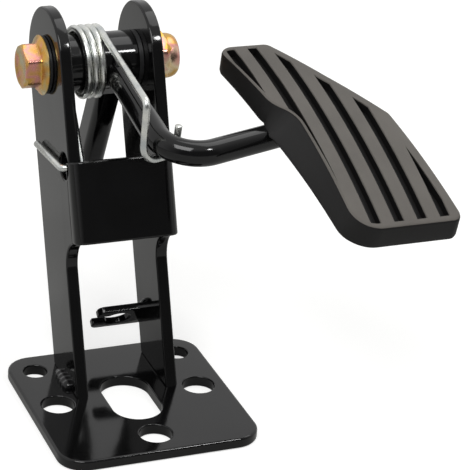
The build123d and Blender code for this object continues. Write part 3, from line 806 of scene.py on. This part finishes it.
class PEDAL_OT_pivot_bolt(bpy.types.Operator):
    """Makes the flange bolt, its washer and lock nut, and the pivot tube between the legs"""

    bl_idname = "pedal.pivot_bolt"
    bl_label = "Pivot bolt"

    def execute(self, context):
        self.bolt(context)
        self.washer(context)
        self.nut(context)
        self.tube(context)
        dress(finished(context, NYLON), "left_bush", "right_bush", "nut_insert")
        dress(finished(context, WIRE), "spacer_sleeve")
        return {"FINISHED"}

    @staticmethod
    def bolt(context):
        """The bolt: a dished hexagon on a flange, and the thread that shows in the nut."""
        size, finish = context.scene.pedal_pivot, context.scene.pedal_finish
        dish, hub, radius = 0.45 * MM, 0.4 * MM, size.bolt / 2
        outer = BRACKET_HIGH.x
        head = hexagon(size.hex_flats / 2, 1.125)
        top = outer + size.head
        seat = outer + size.flange_thickness
        rim = size.flange / 2
        under = outer + size.washer
        start = size.hex_flats / 2 - 0.35 * MM
        profile = [
            # Dished top and chamfered corners
            (-top + dish, hub), (-top + dish, start - 2.0 * MM), (-top, start - 1.2 * MM), (-top, start),
            (chamfer(-top, start, head, 1), head),
            # Fillet from the hexagon to the flange
            (-seat - 0.9 * MM, head), (-seat - 0.25 * MM, lambda a: head(a) + 0.25 * MM),
            (-seat + 0.05 * MM, lambda a: head(a) + 0.9 * MM),
            # Rounded rim and flat underside
            (-under - 1.0 * MM, rim - 0.9 * MM), (-under - 0.7 * MM, rim - 0.25 * MM),
            (-under - 0.45 * MM, rim), (-under - 0.15 * MM, rim), (-under, rim - 0.2 * MM), (-under, radius),
        ]
        pitch, depth, crest, flank, point = 1.5 * MM, 0.75 * MM, 0.25 * MM, 0.5 * MM, 0.9 * MM
        thread = outer - 1.0 * MM
        tip = outer + size.nut - 1.0 * MM
        while thread < tip - 1.6 * MM:
            root = thread + crest + flank
            profile += [
                (thread, radius), (thread + crest, radius), (root, radius - depth), (root + flank, radius),
            ]
            thread += pitch
        profile += [(tip - point, radius), (tip, radius - point), (tip, hub)]
        skin = Skin()
        rings = skin.turned(profile, PIVOT, ACROSS, 96)
        skin.cap(rings[0], PIVOT + ACROSS * (-top + dish))
        skin.cap(rings[-1], PIVOT + ACROSS * tip)
        tints = [
            (0.28, finish.olive), (0.42, finish.gold), (0.58, finish.pink),
            (0.76, finish.gold), (0.92, finish.olive), (1.0, finish.cream),
        ]
        along = ACROSS * (0.55 / size.head)
        zinc = yellow_zinc("yellow_zinc_bolt", PIVOT - ACROSS * top, along, tints)
        skin.piece("pivot_bolt_zinc", zinc, STAND, ["pivot_bolt"], 30)

    @staticmethod
    def washer(context):
        """The dark washer between the bolt's flange and the leg, partly a washer and partly painted shade:
        its dark ring stands for the shade under the flange and that shade's reflection in the leg.
        """
        size = context.scene.pedal_pivot
        ease, leg_gap, head_gap = 0.3 * MM, 0.03 * MM, 0.02 * MM
        outer = BRACKET_HIGH.x
        under = outer + size.washer
        bore = size.bolt / 2 + 0.1 * MM
        edge = size.flange / 2 - 0.35 * MM
        profile = [
            (-outer - leg_gap, bore), (-outer - leg_gap, edge - ease), (-outer - ease, edge),
            (-under + ease, edge), (-under + head_gap, edge - ease), (-under + head_gap, bore),
        ]
        skin = Skin()
        skin.turned(profile, PIVOT, ACROSS, 72, True)
        skin.piece("pivot_washer_nylon", finished(context, NYLON), STAND)

    @staticmethod
    def nut(context):
        """The lock nut: a chamfered hexagon and a domed collar."""
        size, finish = context.scene.pedal_pivot, context.scene.pedal_finish
        hexes = hexagon(size.nut_flats / 2, 1.115)
        foot = BRACKET_HIGH.x + 0.02 * MM
        end = BRACKET_HIGH.x + size.nut
        shoulder = end - size.collar
        collar = size.nut_flats / 2 - 0.4 * MM
        bore = size.bolt / 2 + 0.15 * MM
        face = size.nut_flats / 2 - 0.3 * MM
        rise, inward, steps = 0.4 * MM, 1.9 * MM, 8
        profile = [
            (foot, bore), (foot, face), (chamfer(foot, face, hexes, 1), hexes),
            (chamfer(shoulder - 0.6 * MM, face, hexes, -1), hexes),
            (shoulder - 0.2 * MM, collar + 0.15 * MM), (shoulder + rise, collar),
        ]
        dome = size.collar - rise
        for step in range(1, steps + 1):
            angle = radians(90 * step / steps)
            profile.append((shoulder + rise + dome * sin(angle), collar - inward * (1 - cos(angle))))
        profile += [(end, bore + 0.5 * MM), (end - 0.4 * MM, bore + 0.2 * MM), (end - 0.8 * MM, bore)]
        skin = Skin()
        skin.turned(profile, PIVOT, ACROSS, 96, True)
        tints = [
            (0.30, finish.olive), (0.50, finish.gold), (0.70, finish.cream),
            (0.94, finish.pink), (1.0, finish.gold),
        ]
        bottom = PIVOT - Vector((0, 0, size.nut_flats / 2))
        zinc = yellow_zinc("yellow_zinc_nut", bottom, Vector((0, 0, 0.7 / size.nut_flats)), tints)
        skin.piece("lock_nut_zinc", zinc, STAND, ["lock_nut"], 30)

    @staticmethod
    def tube(context):
        """The pivot tube with eased ends."""
        size = context.scene.pedal_pivot
        half, ease = size.tube_half, 0.5 * MM
        wide, bore = size.tube / 2, size.tube_bore / 2
        profile = [
            (-half, bore), (-half, wide - ease), (-half + ease, wide),
            (half - ease, wide), (half, wide - ease), (half, bore),
        ]
        skin = Skin()
        skin.turned(profile, PIVOT, ACROSS, 72, True)
        skin.painted(context, "pivot_tube_steel", PEDAL, "pivot_tube", 50)


class PEDAL_OT_pedal_arm(bpy.types.Operator):
    """Makes the bent rod that carries the pad"""

    bl_idname = "pedal.pedal_arm"
    bl_label = "Pedal arm"

    def execute(self, context):
        size = context.scene.pedal_arm
        sunk, ease = 1.5 * MM, 0.6 * MM
        tube = context.scene.pedal_pivot.tube / 2
        tip = (size.across + size.end * cos(size.heading), size.corner + size.end * sin(size.heading))
        corners = [
            arm_point(size, size.across, -tube + sunk, 0),
            arm_point(size, size.across, size.corner, 0),
            arm_point(size, *tip, 0),
        ]
        skin = Skin()
        skin.bar(bent(corners, size.bend, steps=18), size.rod / 2, 40, ease)
        skin.painted(context, "pedal_arm_rod", PEDAL, "pedal_arm")
        dress(finished(context, ENAMEL), "pad_plate")
        return {"FINISHED"}


class PEDAL_OT_cable_lever(bpy.types.Operator):
    """Makes the folded channel that pulls the cable"""

    bl_idname = "pedal.cable_lever"
    bl_label = "Cable lever"

    def execute(self, context):
        size = context.scene.pedal_arm
        sunk, slot_run, edge = 0.5 * MM, 1.5 * MM, 0.35 * MM
        tube = context.scene.pedal_pivot.tube / 2
        flat = size.lever_width / 2 - size.lever_bend
        fold = pi / 2 * (size.lever_bend - size.lever_sheet / 2)
        flange = size.lever_depth - size.lever_bend
        wide = flat + fold + flange
        end = size.lever_depth / 2
        root = sqrt(tube ** 2 - end ** 2) - sunk
        pin = wide - end
        slot = size.pin_slot / 2
        slot_end, slot_top = size.lever + slot_run, size.lever - size.pin_hole
        outline = [
            Vector((-wide, root)), Vector((wide, root)), *arc((pin, size.lever), end, 0, 150, steps=14),
            Vector((slot, slot_end)), Vector((slot, slot_top)),
            Vector((-slot, slot_top)), Vector((-slot, slot_end)),
            *arc((-pin, size.lever), end, 30, 180, steps=14),
        ]
        holes = [circle((side * pin, size.lever), size.pin_hole / 2, steps=28) for side in (-1, 1)]
        skin = Skin()
        skin.slab([outline] + holes, -size.lever_sheet / 2, size.lever_sheet / 2, edge)
        skin.cut(0, [side * (flat + fold * step / 7) for side in (-1, 1) for step in range(8)])
        down = Vector((0, sin(size.lever_angle), -cos(size.lever_angle)))
        rear = Vector((0, cos(size.lever_angle), sin(size.lever_angle)))
        start = PIVOT + Vector((size.lever_x, 0, 0)) - rear * end

        def wrapped(along, drop, out):
            across, deep = folded(along, out, flat, size.lever_sheet, size.lever_bend)
            return start + Vector((across, 0, 0)) + down * drop + rear * deep

        skin.place(wrapped)
        skin.painted(context, "cable_lever_steel", PEDAL, "cable_lever")
        return {"FINISHED"}


class PEDAL_OT_weld_beads(bpy.types.Operator):
    """Makes the painted weld beads at the feet and the fork, and paints the others"""

    bl_idname = "pedal.weld_beads"
    bl_label = "Weld beads"

    def execute(self, context):
        leg = context.scene.pedal_bracket
        foot_bead, foot_ripple = 3.0 * MM, 2.6 * MM
        fork_bead, fork_ripple = 2.5 * MM, 2.2 * MM
        outer = BRACKET_HIGH.x
        for side, node in ((-1, "left_leg_weld"), (1, "right_leg_weld")):
            low, high = (Vector(corner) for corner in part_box(node))
            span = high.y - low.y
            path = [Vector((side * outer, low.y + span * step / 60, PLATE_HIGH.z)) for step in range(61)]
            skin = Skin()
            self.bead(skin, path, Vector((side, 0, 0)), Vector((0, 0, 1)), foot_bead, foot_ripple)
            skin.painted(context, node + "_bead", STAND, node, 60)
        c, s = cos(leg.fork_tilt), sin(leg.fork_tilt)
        middle = Vector((outer - leg.sheet, leg.fork_y, leg.fork_z))
        run = Vector((0, c, -s)) * (leg.fork_width / 2)
        path = [middle + run * (step / 15 - 1) for step in range(31)]
        skin = Skin()
        self.bead(skin, path, Vector((-1, 0, 0)), Vector((0, s, c)), fork_bead, fork_ripple)
        skin.painted(context, "fork_weld_bead", STAND, "fork_weld", 60)
        dress(finished(context, ENAMEL), "arm_weld", "lever_weld", "pad_weld")
        return {"FINISHED"}

    @staticmethod
    def bead(skin, path, first, second, size, ripple):
        """A fillet along a path between two surfaces, laid in overlapping ripples."""
        sunk, patch, steps = 0.3 * MM, 6 * MM, 8
        length = (path[-1] - path[0]).length
        rings = []
        for at, point in enumerate(path):
            run = length * at / (len(path) - 1)
            share = 2 * at / (len(path) - 1) - 1
            taper = max(0.05, 1 - share ** 8) ** 0.5
            wander = 0.07 * noise.noise(point / patch)
            points = [point - (first + second) * sunk]
            for step in range(steps + 1):
                angle = radians(90 * step / steps)
                wave = 0.035 * cos(2 * pi * (run / ripple + 0.16 * sin(2 * angle)))
                reach = size * taper * (0.86 + 0.10 * sin(2 * angle) + wave + wander)
                points.append(point + first * reach * cos(angle) + second * reach * sin(angle))
            rings.append(skin.ring(points))
        skin.walls(rings)
        skin.fill(rings[0])
        skin.fill(rings[-1])


class PEDAL_OT_rubber_pad(bpy.types.Operator):
    """Makes the curved rubber pad with its grooves and flared skirt"""

    bl_idname = "pedal.rubber_pad"
    bl_label = "Rubber pad"

    def execute(self, context):
        size = context.scene.pedal_pad
        arm = context.scene.pedal_arm
        lip = 0.3 * MM
        deep = size.thickness
        middle = size.crown_height - size.crown_radius

        def height(along, depth):
            """Height of the crowned surface, or of a layer under it, above the rod's middle."""
            return middle + sqrt((size.crown_radius - depth) ** 2 - (along - size.crown_y) ** 2)

        bow = ((size.knee_right + size.back_right) / 2 - size.hollow, (size.knee_y + size.back_y) / 2)
        corners = [
            (size.back_left, size.back_y), (size.waist_left, size.waist_y), (size.hip_left, size.hip_y),
            (size.front_left, size.front_y), (size.front_right, size.front_y),
            (size.knee_right, size.knee_y), bow, (size.back_right, size.back_y),
        ]
        radii = [
            size.corner, size.waist_round, size.waist_round, size.corner_wide,
            size.corner_front, size.corner, size.hollow_round, size.corner_front,
        ]
        outline = rounded(corners, radii, steps=12)
        ways = offsets(outline)
        flares = [
            (size.back_y - size.corner, 0.0), (size.waist_y, size.waist_flare), (size.hip_y, size.hip_flare),
            (size.front_y + size.corner, size.toe_flare), (size.front_y, size.toe_flare / 2),
        ]

        def flare(along):
            """How far the foot of the left wall stands out from the rim."""
            for (first, low), (last, high) in zip(flares, flares[1:]):
                if first >= along >= last:
                    return low + (high - low) * (first - along) / (first - last)
            return 0.0

        def level(inset, depth):
            """Ring of the outer wall at a depth, drawn in from the outline."""
            points = []
            fallen = max(0.0, (depth - size.flank_start) / (deep - size.flank_start))
            for point, way in zip(outline, ways):
                spot = point + way * inset
                if point.x < size.front_left + size.corner_wide:
                    spot.x -= flare(point.y) * fallen
                near = max(0.0, 1 - (point.y - size.front_y) / size.corner_wide)
                spot.y += near * size.front_tuck * fallen
                points.append((*spot, -depth))
            return skin.ring(points)

        skin = Skin()
        wall = [
            level(0.8 * MM, 0), level(0.25 * MM, 0.22 * MM), level(0, 0.8 * MM), level(0, deep * 0.5),
            level(0, deep - 1.6 * MM), level(0.35 * MM, deep - 0.6 * MM), level(1.2 * MM, deep),
        ]
        skin.walls(wall)
        inner = [
            skin.ring([(*(p + w * size.skirt), -depth) for p, w in zip(outline, ways)])
            for depth in (deep, size.cover)
        ]
        skin.wall(wall[-1], inner[0])
        skin.wall(*inner)
        skin.fill(inner[1])
        shift = Vector((size.groove_shift, 0))
        bounds = [p + w * size.groove_margin + shift for p, w in zip(outline, ways)]
        mouths = []
        for number in range(size.grooves):
            place = size.groove_first + number * size.groove_pitch
            groove = strip(bounds, place - size.groove_width / 2, place + size.groove_width / 2)
            groove = thinned(groove, 0.05 * MM)
            groove.reverse()
            lips = offsets(groove)
            rings = [
                skin.ring([(*(p + w * lip), 0) for p, w in zip(groove, lips)]),
                skin.ring([(*p, -lip) for p in groove]),
                skin.ring([(*p, -size.groove_depth) for p in groove]),
            ]
            skin.walls(rings)
            skin.fill(rings[-1])
            mouths.append(rings[0])
        skin.fill(wall[0], *mouths)
        steps = 34
        span = size.back_y - size.front_y
        skin.cut(1, [size.front_y + span * (step + 0.5) / steps for step in range(steps)])
        # Only the lands and their lips carry the paler rubber, a painted sheen; the grooves and walls keep
        # the dark rubber, so the groove floors show painted shade
        for face in skin.mesh.faces:
            face.material_index = int(min(vert.co.z for vert in face.verts) < -lip - 0.01 * MM)
        skin.place(lambda x, y, z: arm_point(arm, x, y, height(y, -z)))
        finish = context.scene.pedal_finish
        # Lit and shaded copies of one rubber: the paler copy paints sheen on the lands, the dark copy paints
        # shade in the grooves and on the walls
        lands = moulded_rubber("moulded_rubber_painted_sheen", finish.painted_sheen)
        walls = moulded_rubber("moulded_rubber", finish.rubber)
        skin.piece("rubber_pad_cover", lands, PEDAL, ["rubber_pad"], 35, walls)
        return {"FINISHED"}


class PEDAL_OT_return_spring(bpy.types.Operator):
    """Makes the torsion spring that winds up as the pedal goes down"""

    bl_idname = "pedal.return_spring"
    bl_label = "Return spring"

    def execute(self, context):
        scene = context.scene
        size, leg, arm = scene.pedal_spring, scene.pedal_bracket, scene.pedal_arm
        arm_gap, leg_gap, ease = 0.2 * MM, 0.3 * MM, 0.2 * MM
        wire = size.wire / 2
        coil = scene.pedal_pivot.tube / 2 + size.clearance + wire
        under = arm.rod / 2 + wire + arm_gap
        beside = wire + leg_gap
        tail_end = leg_point(leg, -BRACKET_HIGH.x - beside, size.tail_end_y, size.tail_end_z)
        anchor_out = leg_point(leg, -BRACKET_HIGH.x - beside, size.tail_y, size.tail_z)
        anchor_in = leg_point(leg, leg.sheet - BRACKET_HIGH.x + beside, size.tail_y, size.tail_z)
        hook_top = arm_point(arm, size.hook_x, size.hook_top_y, size.hook_rise)
        hook_low = arm_point(arm, size.hook_x, size.hook_low_y, -under)
        stub_low = arm_point(arm, size.stub_x, size.stub_y, -under)
        stub_top = arm_point(arm, size.stub_x, size.stub_y, size.stub_rise)
        drop = hook_top.lerp(hook_low, 0.4)
        cross = hook_low.lerp(stub_low, 0.6)

        def meets(point, way):
            """Angle at which a straight wire from the point meets the coil."""
            gap = point - PIVOT
            return atan2(gap.z, gap.y) - way * acos(coil / hypot(gap.y, gap.z))

        first = meets(anchor_in, -1)
        last = meets(hook_top, 1) + 2 * pi * size.turns
        steps = 40 * size.turns
        winding = []
        for step in range(steps + 1):
            angle = first + (last - first) * step / steps
            across = size.right - size.pitch * (last - angle) / (2 * pi)
            winding.append(PIVOT + Vector((across, coil * cos(angle), coil * sin(angle))))
        path = bent([tail_end, anchor_out, anchor_in, winding[0]], size.tail_bend)[:-1]
        path += winding
        path += bent([winding[-1], hook_top, drop], size.bend)[1:]
        path += bent([drop, hook_low, cross], size.hook_bend)[1:]
        path += bent([cross, stub_low, stub_top], size.bend)[1:]
        skin = Skin()
        skin.bar(path, wire, 18, ease)
        zinc = finished(context, WIRE)
        made = skin.piece("return_spring_wire", zinc, None, ["return_spring"], 60)
        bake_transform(made)
        return {"FINISHED"}


class PEDAL_OT_stage(bpy.types.Operator):
    """Makes the floor, the soft studio light and the camera"""

    bl_idname = "pedal.stage"
    bl_label = "Stage"

    def execute(self, context):
        scene = context.scene
        self.floor(scene)
        self.room(scene)
        self.lamps(scene)
        self.camera(scene)
        scene.view_settings.view_transform = "Standard"
        return {"FINISHED"}

    @staticmethod
    def shown(tree, ray, *kinds):
        """One where the ray is of any of the kinds, else zero."""
        share = ray.outputs[kinds[0]]
        for kind in kinds[1:]:
            either = add(tree, "ShaderNodeMath", {0: share, 1: ray.outputs[kind]}, operation="MAXIMUM")
            share = either.outputs["Value"]
        return share

    def floor(self, scene):
        """A matt floor that takes shadows, with a glow that makes it white round the picture."""
        reach, gap = 6.0, 0.15 * MM
        made, tree = blank("pale_studio_floor")
        ray = add(tree, "ShaderNodeLightPath")
        seen = self.shown(tree, ray, "Is Camera Ray", "Is Glossy Ray", "Is Transmission Ray")
        matt = add(tree, "ShaderNodeBsdfDiffuse", {"Color": scene.pedal_finish.floor, "Roughness": 0.5})
        # Paint and metal mirror the floor too, less bright than the white round the picture
        clear = self.shown(tree, ray, "Is Camera Ray", "Is Transmission Ray")
        power = add(tree, "ShaderNodeMapRange", {"Value": clear, "To Min": 0.10, "To Max": 0.66})
        glow = add(tree, "ShaderNodeEmission", {"Color": WHITE, "Strength": power.outputs["Result"]})
        both = add(tree, "ShaderNodeAddShader", {0: matt.outputs["BSDF"], 1: glow.outputs["Emission"]})
        mixed = add(tree, "ShaderNodeMixShader", {
            0: seen, 1: matt.outputs["BSDF"], 2: both.outputs["Shader"],
        })
        add(tree, "ShaderNodeOutputMaterial", {"Surface": mixed.outputs["Shader"]})
        mesh = bmesh.new()
        bmesh.ops.create_grid(mesh, x_segments=2, y_segments=2, size=reach)
        data = bpy.data.meshes.new("studio_floor")
        mesh.to_mesh(data)
        mesh.free()
        data.materials.append(made)
        floor = bpy.data.objects.new("studio_floor", data)
        floor.location.z = -gap
        scene.collection.objects.link(floor)

    def room(self, scene):
        """A white room, which paint and metal see as unlit in front and soft above."""
        world = bpy.data.worlds.new("studio_white")
        scene.world = world
        world.use_nodes = True
        tree = world.node_tree
        tree.nodes.clear()
        ray = add(tree, "ShaderNodeLightPath")
        way = add(tree, "ShaderNodeTexCoord").outputs["Generated"]
        aim = add(tree, "ShaderNodeSeparateXYZ", {"Vector": way})
        # The side of the room behind the camera is unlit, so faces that look at it stay black
        front = add(tree, "ShaderNodeMapRange", {
            "Value": aim.outputs["Y"], "From Min": -0.75, "From Max": -0.1, "To Min": 0.11, "To Max": 0.86,
        })
        # A wide soft ceiling
        ceiling = add(tree, "ShaderNodeMapRange", {
            "Value": aim.outputs["Z"], "From Min": 0.55, "From Max": 0.85, "To Min": 0.0, "To Max": 0.75,
        })
        level = add(tree, "ShaderNodeMath", {
            0: front.outputs["Result"], 1: ceiling.outputs["Result"],
        }, operation="MAXIMUM").outputs["Value"]
        seen = self.shown(tree, ray, "Is Camera Ray", "Is Transmission Ray")
        white, mirror, soft = [
            add(tree, "ShaderNodeBackground", {"Color": WHITE, "Strength": strength}).outputs["Background"]
            for strength in (1.0, level, 0.42)
        ]
        shine = add(tree, "ShaderNodeMixShader", {0: ray.outputs["Is Glossy Ray"], 1: soft, 2: mirror})
        room = add(tree, "ShaderNodeMixShader", {0: seen, 1: shine.outputs["Shader"], 2: white})
        add(tree, "ShaderNodeOutputWorld", {"Surface": room.outputs["Shader"]})

    @staticmethod
    def lamps(scene):
        """Two softboxes and a narrow strip, all aimed at the pedal."""
        target = Vector((0.02, 0.0, 0.07))
        for name, place, wide, power in (
            ("key_softbox", Vector((-0.40, -0.55, 1.05)), 0.6, 7.0),
            ("strip_light", Vector((0.37, -0.53, 0.84)), 0.10, 1.6),
            ("back_softbox", Vector((0.60, 0.30, 1.25)), 0.8, 3.6),
        ):
            data = bpy.data.lights.new(name, "AREA")
            data.size = wide
            data.energy = power
            lamp = bpy.data.objects.new(name, data)
            lamp.location = place
            lamp.rotation_euler = (target - place).to_track_quat("-Z", "Y").to_euler()
            scene.collection.objects.link(lamp)

    @staticmethod
    def camera(scene):
        """The camera where the photograph was taken from."""
        data = bpy.data.cameras.new("photo_camera")
        data.sensor_width = 36.0
        data.lens = 162.7
        data.clip_start = 0.01
        data.clip_end = 30.0
        camera = bpy.data.objects.new("photo_camera", data)
        right = Vector((0.925, -0.374, 0.068))
        up = Vector((0.105, 0.422, 0.900))
        back = Vector((-0.365, -0.826, 0.430))
        place = Vector((-236.1, -616.3, 383.6)) * MM
        turned = Matrix((right.normalized(), up.normalized(), back.normalized())).transposed().to_4x4()
        camera.matrix_world = Matrix.Translation(place) @ turned
        scene.collection.objects.link(camera)
        scene.camera = camera


class PEDAL_PT_pieces(bpy.types.Panel):
    """Lists the pedal's pieces in the sidebar"""

    bl_idname = "PEDAL_PT_pieces"
    bl_label = "Accelerator pedal"
    bl_space_type = "VIEW_3D"
    bl_region_type = "UI"
    bl_category = "Pedal"

    def draw(self, context):
        for operator in OPERATORS:
            self.layout.operator(operator.bl_idname)


OPERATORS = (
    PEDAL_OT_base_plate,
    PEDAL_OT_bracket,
    PEDAL_OT_cable_fork,
    PEDAL_OT_pivot_bolt,
    PEDAL_OT_pedal_arm,
    PEDAL_OT_cable_lever,
    PEDAL_OT_weld_beads,
    PEDAL_OT_rubber_pad,
    PEDAL_OT_return_spring,
    PEDAL_OT_stage,
)


def register():
    for group in GROUPS.values():
        bpy.utils.register_class(group)
    for name, group in GROUPS.items():
        setattr(bpy.types.Scene, name, bpy.props.PointerProperty(type=group))
    for operator in OPERATORS:
        bpy.utils.register_class(operator)
    bpy.utils.register_class(PEDAL_PT_pieces)


def unregister():
    bpy.utils.unregister_class(PEDAL_PT_pieces)
    for operator in reversed(OPERATORS):
        bpy.utils.unregister_class(operator)
    for name, group in GROUPS.items():
        delattr(bpy.types.Scene, name)
        bpy.utils.unregister_class(group)


def main():
    register()
    bpy.ops.pedal.base_plate()
    bpy.ops.pedal.bracket()
    bpy.ops.pedal.cable_fork()
    bpy.ops.pedal.pivot_bolt()
    bpy.ops.pedal.pedal_arm()
    bpy.ops.pedal.cable_lever()
    bpy.ops.pedal.weld_beads()
    bpy.ops.pedal.rubber_pad()
    bpy.ops.pedal.return_spring()
    bpy.ops.pedal.stage()


if __name__ == "__main__":
    main()
